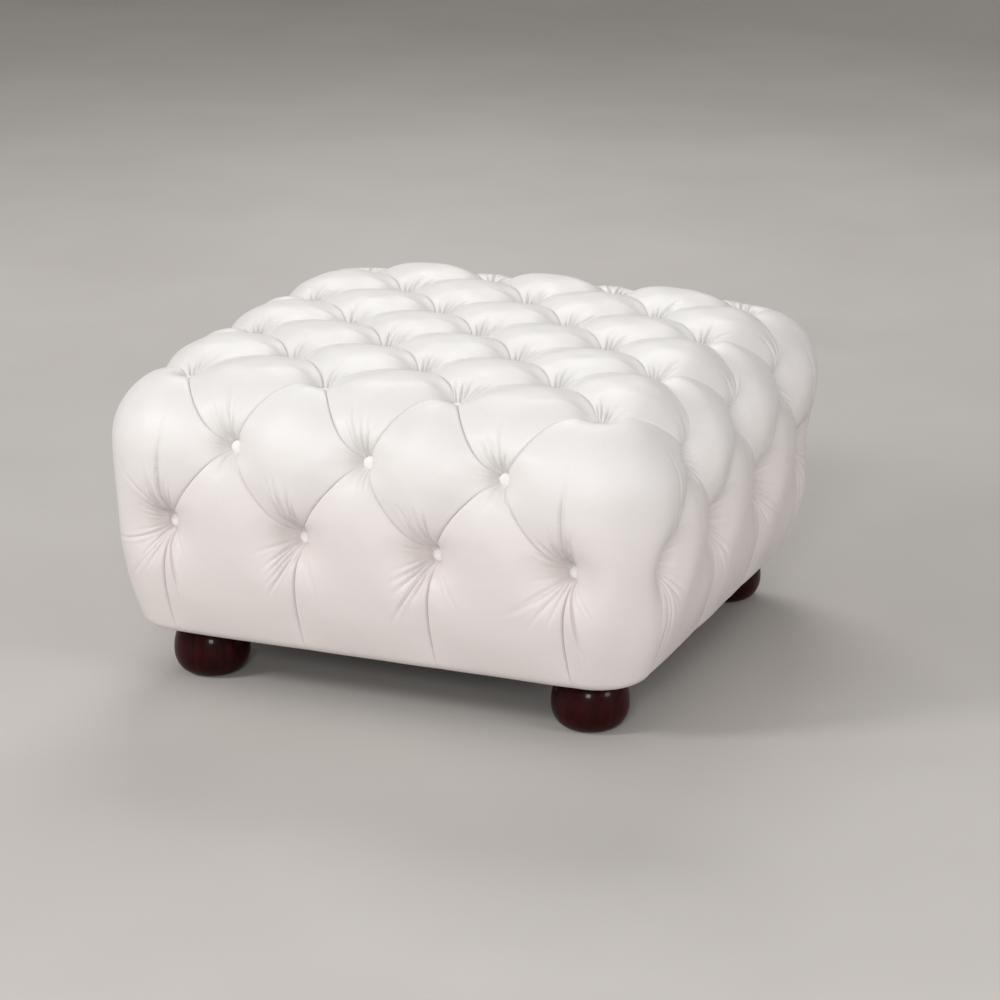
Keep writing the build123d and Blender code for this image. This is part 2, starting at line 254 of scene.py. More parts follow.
# Colours, as red, green and blue
# The low tones of both leathers are painted shade: darker and warmer colours for the lower part of the block
WHITE_LEATHER = {"light": (0.85, 0.838, 0.825), "dark": (0.825, 0.808, 0.795),
                 "low": (0.775, 0.725, 0.712), "creases": (0.66, 0.60, 0.58)}
BUTTON_LEATHER = {"light": (0.88, 0.87, 0.86), "dark": (0.86, 0.85, 0.84),
                  "low": (0.84, 0.82, 0.81), "creases": (0.72, 0.69, 0.67)}
MAHOGANY_DARK, MAHOGANY_RED = (0.012, 0.0004, 0.0004), (0.030, 0.0010, 0.0008)
MAHOGANY_PORES = (0.008, 0.0012, 0.0010)
CLOTH_DARK, CLOTH_LIGHT = (0.010, 0.010, 0.011), (0.030, 0.030, 0.032)
PLYWOOD_LIGHT, PLYWOOD_DARK = (0.66, 0.50, 0.32), (0.50, 0.34, 0.19)
TIMBER_LIGHT, TIMBER_DARK = (0.62, 0.44, 0.26), (0.44, 0.29, 0.15)
FOAM_LIGHT, FOAM_DARK = (0.80, 0.76, 0.60), (0.55, 0.50, 0.36)
TWINE_DARK, TWINE_LIGHT = (0.45, 0.37, 0.22), (0.72, 0.64, 0.46)
STEEL_DARK, STEEL_LIGHT = (0.50, 0.50, 0.48), (0.72, 0.72, 0.70)
FLOOR_DARK, FLOOR_LIGHT = (0.50, 0.475, 0.45), (0.545, 0.52, 0.495)

# The heights between which the leather turns from its low tone, painted shade that darkens and warms it
# towards the floor, to its own tone
PAINTED_SHADE_HEIGHTS = (0.22, 0.41)

# The floor, which curves up behind the object
FLOOR_REACH = 14.0
FLOOR_BACK = 7.0
FLOOR_RISE = 7.0
FLOOR_RADIUS = 2.5
FLOOR_STEPS = 16

# The lamps: name, place, what it faces, width and height, watts and colour
LAMPS = (
    ("key", (-2.3, -2.6, 2.2), (0, 0, 0.22), (0.8, 0.8), 58, (1.0, 0.99, 0.975)),
    ("fill", (1.0, -3.3, 1.4), (0, 0, 0.2), (0.7, 0.7), 34, (1.0, 0.99, 0.985)),
    ("side", (3.2, -1.0, 1.3), (0, 0, 0.2), (0.9, 0.9), 26, (1.0, 0.99, 0.985)),
    ("back", (-1.0, 2.4, 2.8), (0, 0, 0.3), (1.8, 1.2), 50, (1.0, 0.99, 0.98)),
)
WORLD_COLOUR = (1.0, 0.99, 0.98, 1)
WORLD_STRENGTH = 0.39

# The camera, which sees the object as the photograph does
CAMERA_AZIMUTH = math.radians(21.96)
CAMERA_ELEVATION = math.radians(17.79)
CAMERA_ROLL = math.radians(0.10)
CAMERA_DISTANCE = 4.940
CAMERA_TARGET = Vector((-0.0166, 0.1275, 0.1458))
CAMERA_FOCAL_SHARE = 3.5927
CAMERA_SENSOR = 36
CAMERA_FAR_END = 100


# The unbuttoned block


def outline(points):
    """Places and outward normals on the unbuttoned block, over points of its sharp outline."""
    centre = np.stack([
        np.clip(points[..., 0], -CORNER, CORNER),
        np.clip(points[..., 1], -CORNER, CORNER),
        np.minimum(points[..., 2], EDGE_HEIGHT),
    ], axis=-1)
    normal = points - centre
    normal = normal / np.linalg.norm(normal, axis=-1, keepdims=True)
    place = centre + normal * EDGE_RADIUS
    up = np.maximum(normal[..., 2], 0)
    crown = (1 - (place[..., 0] / HALF) ** 2) * (1 - (place[..., 1] / HALF) ** 2)
    below = np.maximum(0, (WIDEST - place[..., 2]) / (WIDEST - BASE))
    low = np.clip((HEM_ROLL - (place[..., 2] - BASE)) / HEM_ROLL, 0, 1)
    inward = DRAW_IN * below ** DRAW_IN_POWER + HEM_ROLL * (1 - np.sqrt(1 - low ** 2))
    far = np.clip((np.abs(place[..., :2]) / HALF - CORNER_DROP_FROM) / CORNER_DROP_OVER, 0, 1)
    drop = CORNER_DROP * (far[..., 0] * far[..., 1]) ** CORNER_DROP_POWER
    place = place.copy()
    place[..., 2] += (CROWN * crown - drop) * up
    place[..., :2] -= normal[..., :2] * inward[..., None]
    return place, normal


def button_depth(normal):
    """How deep a button sits, by the way that the block's surface faces there."""
    up = np.maximum(normal[..., 2], 0)
    return TOP_DEPTH * up + SIDE_DEPTH * (1 - up)


def chance(point, draw):
    """A fixed number from 0 to 1 that looks random, for a place and a purpose."""
    turn = float(np.dot(point, CHANCE_WAY)) * CHANCE_TURN + draw * CHANCE_STEP
    value = math.sin(turn) * CHANCE_SCALE
    return value - math.floor(value)


def varied(point, draw, spread):
    """A number about 1 that differs from place to place."""
    return 1 + spread * (chance(point, draw) - 0.5)


def smoothstep(low, high, value):
    t = np.clip((value - low) / (high - low), 0, 1)
    return t * t * (3 - 2 * t)


# The grid of buttons and panels, on the block's sharp outline


def turned(point, quarter_turns):
    x, y, z = point
    for _ in range(quarter_turns):
        x, y = -y, x
    return np.array((x, y, z), float)


def swapped(point):
    """A point mirrored in the block's diagonal plane."""
    return np.array((point[1], point[0], point[2]))


def top_spot(column, row):
    """A place on the top, whose outer rows lie where its edges begin to round."""
    outer = FULL_ROW[-1]
    x = max(-outer, min(outer, column)) * PITCH
    y = max(-outer, min(outer, row)) * PITCH
    if abs(column) == outer:
        x = CORNER * column / outer
    if abs(row) == outer:
        y = CORNER * row / outer
    return np.array((x, y, HEIGHT))


def side_spot(column, height):
    return np.array((column * PITCH, HALF, height))


def on_top(spot):
    return spot[2] == HEIGHT


def on_right_or_left(spot):
    """Whether a button is on the right or left face, where the folds lie towards the back."""
    return not on_top(spot) and abs(spot[0]) > abs(spot[1])


TOP_BUTTONS = [top_spot(i, j) for i in HALF_ROW for j in HALF_ROW]
TOP_BUTTONS += [top_spot(i, j) for i in FULL_ROW for j in FULL_ROW]
SIDE_BUTTONS = {
    side: [turned(side_spot(i, ROW_1), turn) for i in HALF_ROW]
    + [turned(side_spot(i, ROW_2), turn) for i in FULL_ROW]
    for turn, side in enumerate(SIDE_NAMES)
}
ALL_BUTTONS = TOP_BUTTONS + [spot for spots in SIDE_BUTTONS.values() for spot in spots]

# Kinds of a panel's side: a fold between pillows, a pleat down to the hem, or none
FOLD, PLEAT, NONE = "fold", "pleat", "none"
SIDES_OF = {
    "full": (FOLD, FOLD, FOLD, FOLD),
    "skirt": (NONE, PLEAT, FOLD, NONE),
    "lower": (NONE, PLEAT, NONE, NONE),
    "upper": (NONE, FOLD, FOLD, NONE),
}


def panel_ends(corners):
    """The two ends of each side of a panel, in the way its grid runs."""
    a, b, c, d = corners
    return (a, b), (b, c), (d, c), (a, d)


def top_panels():
    """The diamonds inside the top: piece, kind and corners of each."""
    panels = []
    for across in FULL_ROW[1:-1]:
        for along in HALF_ROW:
            spots = [top_spot(across, along - 0.5), top_spot(across + 0.5, along),
                     top_spot(across, along + 0.5), top_spot(across - 0.5, along)]
            panels.append(("cover_top", "full", spots))
            panels.append(("cover_top", "full", [swapped(p) for p in spots]))
    return panels


def back_panels(name):
    """The panels of the back face and the edge over it, which the other sides repeat."""
    panels = []
    for column in HALF_ROW:
        over_edge = [top_spot(column, 1), top_spot(column - 0.5, 1.5),
                     side_spot(column, ROW_1), top_spot(column + 0.5, 1.5)]
        panels.append(("cover_top", "full", over_edge))
        for side in (-0.5, 0.5):
            skirt = [side_spot(column, BASE), side_spot(column + side, BASE),
                     side_spot(column + side, ROW_2), side_spot(column, ROW_1)]
            panels.append((name, "skirt", skirt))
    for column in FULL_ROW[1:-1]:
        diamond = [top_spot(column, 1.5), side_spot(column - 0.5, ROW_1),
                   side_spot(column, ROW_2), side_spot(column + 0.5, ROW_1)]
        panels.append((name, "full", diamond))
    middle = np.array((HALF, HALF, ROW_2))
    foot = np.array((HALF, HALF, BASE))
    upper = [middle, side_spot(1.5, ROW_2), side_spot(1, ROW_1), top_spot(1.5, 1.5)]
    lower = [foot, side_spot(1.5, BASE), side_spot(1.5, ROW_2), middle]
    for kind, spots in (("upper", upper), ("lower", lower)):
        panels.append((name, kind, spots))
        panels.append((name, kind, [swapped(p) for p in spots]))
    return panels


def all_panels():
    panels = top_panels()
    for turn, side in enumerate(SIDE_NAMES):
        panels += [(piece, kind, [turned(p, turn) for p in spots])
                   for piece, kind, spots in back_panels(f"cover_{side}")]
    return panels


def full_shares(steps):
    """Shares from 0 to 1, closest together beside both ends."""
    fine = np.array(FINE_SHARES)
    even = np.linspace(0, 1, steps + 1)
    graded = even - GRADING * np.sin(2 * np.pi * even) / (2 * np.pi)
    return np.concatenate([fine[:-1], fine[-1] + (1 - 2 * fine[-1]) * graded, 1 - fine[-2::-1]])


def skirt_shares():
    """Shares from the hem at 0 up to the fold or button at 1."""
    fine, hem = np.array(FINE_SHARES), np.array(HEM_SHARES)
    even = np.linspace(0, 1, SKIRT_STEPS + 1)
    graded = even + GRADING * np.sin(np.pi * even) / np.pi
    return np.concatenate([hem, HEM_END + (1 - fine[-1] - HEM_END) * graded, 1 - fine[-2::-1]])


# The folds


def face_left(point):
    """The way that is left for someone who faces the side on which a point of the outline lies."""
    x, y = point[0], point[1]
    if abs(y) >= abs(x):
        return np.array((1.0 if y > 0 else -1.0, 0.0, 0.0))
    return np.array((0.0, -1.0 if x > 0 else 1.0, 0.0))


def fold_lay(point):
    """The way the folds lie on a side: towards -x on the front and back, and to the back on the others."""
    if abs(point[1]) >= abs(point[0]):
        return np.array((-1.0, 0.0, 0.0))
    return np.array((0.0, 1.0, 0.0))


def edge_lay(a, b):
    """The way that the line between two corners lies: towards the pillow that it overlaps."""
    if on_top(a) and on_top(b):
        return np.array((0.0, 1.0, 0.0))
    return fold_lay(a if on_top(b) else b if on_top(a) else (a + b) / 2)


def edge_bow(a, b, kind):
    """How the line between two corners bows."""
    if kind == NONE:
        return np.zeros(3)
    lay = edge_lay(a, b)
    bow = FRONT_BOW if lay[0] else SIDE_BOW
    if kind == PLEAT:
        bow = PLEAT_BOW
    if on_top(a) and on_top(b):
        bow = TOP_BOW
    return lay * bow * varied((a + b) / 2, BOW_DRAW, BOW_SPREAD)


def bowed_line(a, b, kind, share):
    return a * (1 - share) + b * share + edge_bow(a, b, kind) * 4 * share * (1 - share)


def fold_between(a, b, kind):
    """A fold between two corners, with its line on the unbuttoned block, ways and depths."""
    share = np.linspace(0, 1, FOLD_STEPS + 1)
    line, normal = outline(bowed_line(a, b, kind, share[:, None]))
    steps = np.diff(line, axis=0)
    sizes = np.linalg.norm(steps, axis=-1)
    over = np.cross((normal[:-1] + normal[1:]) / 2, steps)
    over = over / np.linalg.norm(over, axis=-1, keepdims=True)
    lay = edge_lay(a, b)
    if over[FOLD_STEPS // 2].dot(lay) > 0:
        over = -over
    if on_top(a) and on_top(b):
        crease, crevice, lip = TOP_CREASE, CREVICE, LIP
    elif lay[0]:
        crease, crevice, lip = FRONT_CREASE, CREVICE, LIP
    else:
        crease, crevice, lip = SIDE_CREASE, SIDE_CREVICE, SIDE_LIP
    depth = crease if kind == FOLD else PLEAT_DEPTH
    return {
        "kind": kind, "line": line, "steps": steps, "sizes": sizes, "over": over,
        "starts": np.concatenate([[0], np.cumsum(sizes)]),
        "middle_depth": depth * varied((a + b) / 2, DEPTH_DRAW, DEPTH_SPREAD),
        "end_depths": [float(button_depth(outline(p)[1])) if p[2] > BASE else None for p in (a, b)],
        "crevice": crevice, "lip": lip,
    }


def all_folds(panels):
    """Every fold once."""
    folds = {}
    for _, kind, corners in panels:
        for (a, b), side_kind in zip(panel_ends(corners), SIDES_OF[kind]):
            key = frozenset((tuple(np.round(a, 5)), tuple(np.round(b, 5))))
            if side_kind != NONE and key not in folds:
                folds[key] = fold_between(a, b, side_kind)
    return list(folds.values())


def near_fold(place, fold):
    """How far points lie from a fold, how far along it, how much on its upper side, and the way to it."""
    rel = place[:, None] - fold["line"][None, :-1]
    share = np.clip((rel * fold["steps"]).sum(-1) / fold["sizes"] ** 2, 0, 1)
    gap = rel - share[..., None] * fold["steps"]
    away = np.linalg.norm(gap, axis=-1)
    best = away.argmin(1)
    pick = np.arange(len(place))
    away, gap = away[pick, best], gap[pick, best]
    safe = np.maximum(away, TINY)
    side = np.clip((gap * fold["over"][best]).sum(-1) / safe, -1, 1)
    return away, fold["starts"][best] + share[pick, best] * fold["sizes"][best], side, -gap / safe[:, None]


def fold_form(place, fold):
    """How far one fold draws the leather in, how its upper side leans over, and how far away it is."""
    away, at, side, way = near_fold(place, fold)
    total = fold["starts"][-1]
    pleat = fold["kind"] == PLEAT
    depth = np.full(len(place), fold["middle_depth"])
    near_button = np.zeros(len(place))
    for end_depth, along in zip(fold["end_depths"], (at, total - at)):
        if end_depth is not None:
            near = np.exp(-(along / CREASE_REACH) ** CREASE_POWER)
            depth = np.maximum(depth, fold["middle_depth"] + (end_depth - fold["middle_depth"]) * near)
            near_button = np.maximum(near_button, np.exp(-(along / BUTTON_REACH) ** 2))
    clear = (1 - near_button) * np.minimum(1, ENDS_FADE * at / total * (1 - at / total))
    steep = OVER_STEEP * (0.5 + 0.5 * side) * (1 - STEEP_LOSS * near_button)
    reach = UNDER_REACH * (PLEAT_NARROWING if pleat else 1)
    broad = np.clip(1 - away / reach, 0, 1) ** UNDER_POWER
    drawn = depth * (steep * np.exp(-away / STEEP_REACH) + (1 - steep) * broad)
    drawn = drawn + fold["crevice"] * clear * np.exp(-away / CREVICE_REACH)
    lip = fold["lip"] * np.maximum(side, 0) * clear * (PLEAT_LIP_SHARE if pleat else 1)
    push = lip * (away / LIP_REACH) * np.exp(1 - away / LIP_REACH)
    return drawn, way * push[:, None], away


def within(place, points, reach):
    """Which places lie in the box around some points, widened by a reach."""
    return np.all((place > points.min(0) - reach) & (place < points.max(0) + reach), axis=-1)


def draw_in_folds(place, folds):
    """How far the folds draw the leather in, how they lean it, and how full it is between them."""
    drawn, full_share = np.zeros(len(place)), np.ones(len(place))
    shift = np.zeros_like(place)
    for fold in folds:
        near = within(place, fold["line"], UNDER_REACH)
        if near.any():
            here, lean, away = fold_form(place[near], fold)
            full_share[near] = np.minimum(full_share[near], away / PUFF_REACH)
            drawn[near] += here ** FOLD_BLEND
            shift[near] += lean
    return drawn ** (1 / FOLD_BLEND), shift, full_share


# The pits under the buttons and the fine wrinkles that run out from them


def button_row(spot):
    """The row of a button: inside the top, in the ring round it, or in a row of a side."""
    if on_top(spot):
        outside = max(abs(spot[0]), abs(spot[1])) > FULL_ROW[-1] * PITCH
        return "ring" if outside else "top"
    return "row_1" if spot[2] == ROW_1 else "row_2"


def corner_button(spot):
    """Whether a spot is the last of the lower row, beside a corner of the block."""
    return button_row(spot) == "row_2" and abs(float(np.dot(spot, face_left(spot)))) > PITCH


def button_frame(spot):
    """Centre on the unbuttoned block, normal, the way against the lay of the folds, and the way up."""
    place, normal = outline(spot)
    right = np.array((1.0, 0.0, 0.0)) if on_top(spot) else -face_left(spot)
    right = right - normal * right.dot(normal)
    right = right / np.linalg.norm(right)
    up = np.cross(normal, right)
    if not on_top(spot) and right.dot(fold_lay(spot)) > 0:
        right = -right
    return place, normal, right, up


def wrinkles_of(spot):
    """The wrinkles at a button: angle, length, depth, width, curve and spread of each."""
    at_corner, sideways = corner_button(spot), on_right_or_left(spot)
    width = SIDE_WRINKLE_WIDTH if sideways else WRINKLE_WIDTH
    found = []
    for number, (start, end, count, length, depth) in enumerate(WRINKLE_FANS[button_row(spot)]):
        strength = CORNER_FAN_SHARE if at_corner and start > DOWNWARD else 1
        for k in range(count):
            draw = WRINKLE_DRAW + DRAWS_PER_FAN * number + k
            jitter = WRINKLE_JITTER * (chance(spot, draw) - 0.5)
            angle = start + (end - start) * (k + 0.5 + jitter) / count
            size = SHORTEST_SHARE + LENGTH_SPREAD * chance(spot, draw + LENGTH_DRAW)
            bend = WRINKLE_BEND * (chance(spot, draw + BEND_DRAW) - 0.5)
            deep = strength * depth * (DEPTH_SHARE + DEPTH_BY_LENGTH * size)
            found.append((angle, length * size, deep, width, bend, WRINKLE_SPREAD))
    if at_corner:
        softer = SIDE_CORNER_SHARE if sideways else 1
        found += [(angle, length, softer * depth, width, bend, spread)
                  for angle, length, depth, width, bend, spread in CORNER_FOLDS]
    return found


def wrinkle_form(x, y, angle, length, depth, width, bend, spread):
    """How far one wrinkle draws the leather in: a groove between two low ridges."""
    swing = math.radians(angle)
    along = x * math.cos(swing) + y * math.sin(swing)
    beside = -x * math.sin(swing) + y * math.cos(swing) + bend * along ** 2
    side = beside / (width + spread * np.maximum(along, 0))
    groove = np.exp(-side ** 2)
    for share, place in RIDGES:
        groove = groove - share * np.exp(-(side - place) ** 2)
    fade = 1 - smoothstep(WRINKLE_FADE_FROM * length, length, along)
    return depth * groove * smoothstep(*WRINKLE_START, along) * fade


def pit_form(x, y, spot, full):
    """The funnel round a button, how flat its seat is, and how far the leather hoods over it."""
    sideways = on_right_or_left(spot)
    r = np.sqrt(x * x + y * y)
    towards = (-y if on_top(spot) else x) / np.maximum(r, TINY)
    opening = SIDE_OPENING if sideways else FRONT_OPENING
    reach = PIT_REACH * (1 + opening * smoothstep(0, 1, -towards))
    funnel = np.exp(-(np.maximum(r - PIT_START, 0) / reach) ** PIT_POWER) * (1 - smoothstep(*FUNNEL_END, r))
    hollow = SIDE_HOLLOW if sideways else FRONT_HOLLOW
    funnel = full * ((1 - hollow) * funnel + hollow * np.exp(-(r / HOLLOW_REACH) ** 2))
    flat = 1 - smoothstep(SEAT_RADIUS, SEAT_RADIUS + SEAT_SLOPE, r)
    hood = (TOP_HOOD if on_top(spot) else SIDE_HOOD) * np.clip(towards, 0, 1) ** HOOD_POWER
    hood = hood * smoothstep(HOOD_START, HOOD_PEAK, r) * (1 - smoothstep(HOOD_PEAK, HOOD_END, r))
    return funnel, flat, hood


def draw_in_buttons(place, drawn, shift):
    """Adds pits and hoods to what the folds do, and gives the wrinkles, the seats and their depths."""
    wrinkles, seat, seated = np.zeros(len(place)), np.zeros(len(place)), np.zeros(len(place))
    for spot in ALL_BUTTONS:
        centre, out, right, up = button_frame(spot)
        near = within(place, centre[None], WRINKLES_REACH)
        near[near] = -(place[near] - centre) @ out < FACE_REACH
        if not near.any():
            continue
        rel = place[near] - centre
        x, y = rel @ right, rel @ up
        full = float(button_depth(out))
        funnel, flat, hood = pit_form(x, y, spot, full)
        drawn[near] = (drawn[near] ** PIT_BLEND + funnel ** PIT_BLEND) ** (1 / PIT_BLEND)
        shift[near] += (up if on_top(spot) else -right) * hood[:, None]
        on_face = 1 - smoothstep(FACE_SHARE * FACE_REACH, FACE_REACH, -rel @ out)
        for wrinkle in wrinkles_of(spot):
            wrinkles[near] += wrinkle_form(x, y, *wrinkle) * on_face
        seated[near] = np.maximum(seated[near], full * flat)
        seat[near] = np.maximum(seat[near], flat)
    return DEEPEST_WRINKLE * np.tanh(wrinkles / DEEPEST_WRINKLE), seat, seated


# The leather of one panel


def panel_points(kind, corners, steps):
    """A panel's points on the block's sharp outline."""
    u = full_shares(steps)
    v = u if kind in ("full", "upper") else skirt_shares()
    a, b, c, d = corners
    ends, kinds = panel_ends(corners), SIDES_OF[kind]
    uu, vv = np.meshgrid(u, v, indexing="ij")
    uu, vv = uu[..., None], vv[..., None]
    lines = [bowed_line(*ends[k], kinds[k], (uu, vv, uu, vv)[k]) for k in range(4)]
    sharp = (1 - vv) * lines[0] + vv * lines[2] + (1 - uu) * lines[3] + uu * lines[1]
    return sharp - ((1 - uu) * (1 - vv) * a + uu * (1 - vv) * b + uu * vv * c + (1 - uu) * vv * d)


def waves_at(place, waves):
    """The mean of some waves through space, from -1 to 1."""
    return sum(np.sin(place @ np.array(way) + phase) for way, phase in waves) / len(waves)


def panel_grid(kind, corners, folds, steps):
    """A panel's points on the sharp outline, its finished leather surface, and the ways out of it."""
    sharp = panel_points(kind, corners, steps)
    place, normal = outline(sharp)
    shape = place.shape
    place, normal = place.reshape(-1, 3), normal.reshape(-1, 3)
    drawn, shift, full_share = draw_in_folds(place, folds)
    wrinkles, seat, seated = draw_in_buttons(place, drawn, shift)
    above_hem = HEM_DRAWN_SHARE + (1 - HEM_DRAWN_SHARE) * smoothstep(0.0, HEM_FADE, place[:, 2] - BASE)
    sink = (drawn - PUFF[kind] * smoothstep(0, 1, full_share)) * above_hem
    sink = (sink + wrinkles) * (1 - seat) + seated
    swell = SLOW_SWELL * waves_at(place, SLOW_WAVES) + FINE_SWELL * waves_at(place, FINE_WAVES)
    sink = sink - swell * (1 - np.clip(sink / SWELL_FADE, 0, 1))
    leather_at = place - normal * sink[:, None] + shift * (1 - seat)[:, None]
    return sharp, leather_at.reshape(shape), normal.reshape(shape)


def new_object(name, verts, faces, material):
    """A smooth mesh object with one material."""
    mesh = bpy.data.meshes.new(name)
    mesh.from_pydata([tuple(map(float, v)) for v in verts], [], faces)
    mesh.validate()
    mesh.polygons.foreach_set("use_smooth", [True] * len(mesh.polygons))
    mesh.materials.append(material)
    piece = bpy.data.objects.new(name, mesh)
    bpy.context.scene.collection.objects.link(piece)
    return piece


# Materials


def node_material(name):
    material = bpy.data.materials.new(name)
    material.use_nodes = True
    tree = material.node_tree
    return material, tree, tree.nodes["Principled BSDF"]


def mixed(tree, factor, first, second):
    """A colour between two, by a node's output."""
    mix = tree.nodes.new("ShaderNodeMix")
    mix.data_type = "RGBA"
    tree.links.new(factor, mix.inputs["Factor"])
    for socket, value in ((mix.inputs[6], first), (mix.inputs[7], second)):
        if isinstance(value, tuple):
            socket.default_value = (*value, 1)
        else:
            tree.links.new(value, socket)
    return mix.outputs[2]


def mapped(tree, factor, source, target=(0.0, 1.0)):
    """A node's output, moved smoothly from one range to another."""
    node = tree.nodes.new("ShaderNodeMapRange")
    node.interpolation_type = "SMOOTHSTEP"
    tree.links.new(factor, node.inputs["Value"])
    for name, value in zip(("From Min", "From Max", "To Min", "To Max"), (*source, *target)):
        node.inputs[name].default_value = value
    return node.outputs["Result"]


def noise(tree, vector, scale, detail=4.0, roughness=0.55, distortion=0.0):
    node = tree.nodes.new("ShaderNodeTexNoise")
    node.inputs["Scale"].default_value = scale
    node.inputs["Detail"].default_value = detail
    node.inputs["Roughness"].default_value = roughness
    node.inputs["Distortion"].default_value = distortion
    tree.links.new(vector, node.inputs["Vector"])
    return node.outputs["Fac"]


def cell_edges(tree, vector, scale):
    """How far a place is from the edges of irregular cells."""
    node = tree.nodes.new("ShaderNodeTexVoronoi")
    node.feature = "DISTANCE_TO_EDGE"
    node.inputs["Scale"].default_value = scale
    tree.links.new(vector, node.inputs["Vector"])
    return node.outputs["Distance"]


def bumped(tree, height, distance, strength, before=None):
    """A bump by a height, over the bump before it."""
    node = tree.nodes.new("ShaderNodeBump")
    node.inputs["Distance"].default_value = distance
    node.inputs["Strength"].default_value = strength
    tree.links.new(height, node.inputs["Height"])
    if before is not None:
        tree.links.new(before, node.inputs["Normal"])
    return node.outputs["Normal"]


def object_place(tree):
    return tree.nodes.new("ShaderNodeTexCoord").outputs["Object"]


def stretched(tree, place, scale, rotation=(0.0, 0.0, 0.0)):
    """Places for a figure that runs further one way than another."""
    node = tree.nodes.new("ShaderNodeMapping")
    node.inputs["Scale"].default_value = scale
    node.inputs["Rotation"].default_value = rotation
    tree.links.new(place, node.inputs["Vector"])
    return node.outputs["Vector"]


def leather(name, colours, roughness):
    """Coated leather with patches, grain and pores, and painted shade that makes it darker and warmer towards
    the floor.
    """
    material, tree, shader = node_material(name)
    place = object_place(tree)
    patches = noise(tree, place, scale=7.0, detail=3.0)
    tone = mixed(tree, mapped(tree, patches, (0.35, 0.65)), colours["light"], colours["dark"])
    height = tree.nodes.new("ShaderNodeSeparateXYZ")
    tree.links.new(place, height.inputs["Vector"])
    # Painted shade: the leather darkens and warms towards the floor, by height
    low = mapped(tree, height.outputs["Z"], PAINTED_SHADE_HEIGHTS, (1.0, 0.0))
    tone = mixed(tree, low, tone, colours["low"])
    grain = cell_edges(tree, place, scale=620.0)
    tone = mixed(tree, mapped(tree, grain, (0.0, 0.10), (0.22, 0.0)), tone, colours["creases"])
    tree.links.new(tone, shader.inputs["Base Color"])
    sheen = noise(tree, place, scale=34.0, detail=5.0)
    gloss = mapped(tree, sheen, (0.3, 0.7), (roughness - 0.05, roughness + 0.06))
    tree.links.new(gloss, shader.inputs["Roughness"])
    soft = noise(tree, place, scale=95.0, detail=4.0, roughness=0.6)
    bump = bumped(tree, soft, distance=0.0006, strength=0.25)
    bump = bumped(tree, mapped(tree, grain, (0.0, 0.14)), distance=0.00012, strength=0.45, before=bump)
    pores = noise(tree, place, scale=1500.0, detail=2.0)
    bump = bumped(tree, pores, distance=0.00006, strength=0.35, before=bump)
    tree.links.new(bump, shader.inputs["Normal"])
    shader.inputs["Specular IOR Level"].default_value = 0.5
    shader.inputs["Coat Weight"].default_value = 0.06
    shader.inputs["Coat Roughness"].default_value = 0.35
    return material


def lacquered_mahogany(name):
    """Near black red wood with an upright figure and fine pores, under lacquer."""
    material, tree, shader = node_material(name)
    grain = stretched(tree, object_place(tree), scale=(1.0, 1.0, 0.16), rotation=(0.25, 0.12, 0.0))
    figure = noise(tree, grain, scale=55.0, detail=6.0, roughness=0.6, distortion=1.6)
    pores = noise(tree, grain, scale=900.0, detail=3.0, roughness=0.6)
    tone = mixed(tree, mapped(tree, figure, (0.35, 0.68)), MAHOGANY_DARK, MAHOGANY_RED)
    tone = mixed(tree, mapped(tree, pores, (0.55, 0.75), (0.0, 0.7)), tone, MAHOGANY_PORES)
    tree.links.new(tone, shader.inputs["Base Color"])
    tree.links.new(mapped(tree, figure, (0.3, 0.7), (0.30, 0.38)), shader.inputs["Roughness"])
    tree.links.new(bumped(tree, pores, distance=0.00005, strength=0.2), shader.inputs["Normal"])
    shader.inputs["Specular IOR Level"].default_value = 0.06
    shader.inputs["Coat Weight"].default_value = 0.17
    shader.inputs["Coat Roughness"].default_value = 0.10
    return material


def spun_cloth(name):
    """Thin black cloth of pressed threads, with the dimples of its bonding."""
    material, tree, shader = node_material(name)
    place = object_place(tree)
    web = cell_edges(tree, place, scale=420.0)
    thread = noise(tree, place, scale=260.0, detail=5.0, roughness=0.7, distortion=2.0)
    tone = mixed(tree, mapped(tree, thread, (0.3, 0.7)), CLOTH_DARK, CLOTH_LIGHT)
    tree.links.new(tone, shader.inputs["Base Color"])
    tree.links.new(mapped(tree, thread, (0.3, 0.7), (0.78, 0.92)), shader.inputs["Roughness"])
    dimples = bumped(tree, mapped(tree, web, (0.0, 0.2)), distance=0.0002, strength=0.6)
    bump = bumped(tree, thread, distance=0.0002, strength=0.5, before=dimples)
    tree.links.new(bump, shader.inputs["Normal"])
    return material


def bare_wood(name, light, dark, stretch):
    """Unfinished wood with a broad figure and fine fibres."""
    material, tree, shader = node_material(name)
    grain = stretched(tree, object_place(tree), scale=stretch)
    figure = noise(tree, grain, scale=22.0, detail=6.0, roughness=0.6, distortion=0.8)
    fibre = noise(tree, grain, scale=240.0, detail=4.0, roughness=0.6)
    tone = mixed(tree, mapped(tree, figure, (0.3, 0.7)), light, dark)
    tone = mixed(tree, mapped(tree, fibre, (0.45, 0.8), (0.0, 0.5)), tone, dark)
    tree.links.new(tone, shader.inputs["Base Color"])
    tree.links.new(mapped(tree, fibre, (0.3, 0.7), (0.6, 0.8)), shader.inputs["Roughness"])
    tree.links.new(bumped(tree, fibre, distance=0.0003, strength=0.4), shader.inputs["Normal"])
    return material


def open_foam(name):
    """Cream foam with open cells."""
    material, tree, shader = node_material(name)
    holes = cell_edges(tree, object_place(tree), scale=700.0)
    tone = mixed(tree, mapped(tree, holes, (0.0, 0.2), (1.0, 0.0)), FOAM_LIGHT, FOAM_DARK)
    tree.links.new(tone, shader.inputs["Base Color"])
    tree.links.new(mapped(tree, holes, (0.0, 0.2), (0.95, 0.85)), shader.inputs["Roughness"])
    tree.links.new(bumped(tree, holes, distance=0.0005, strength=0.8), shader.inputs["Normal"])
    return material


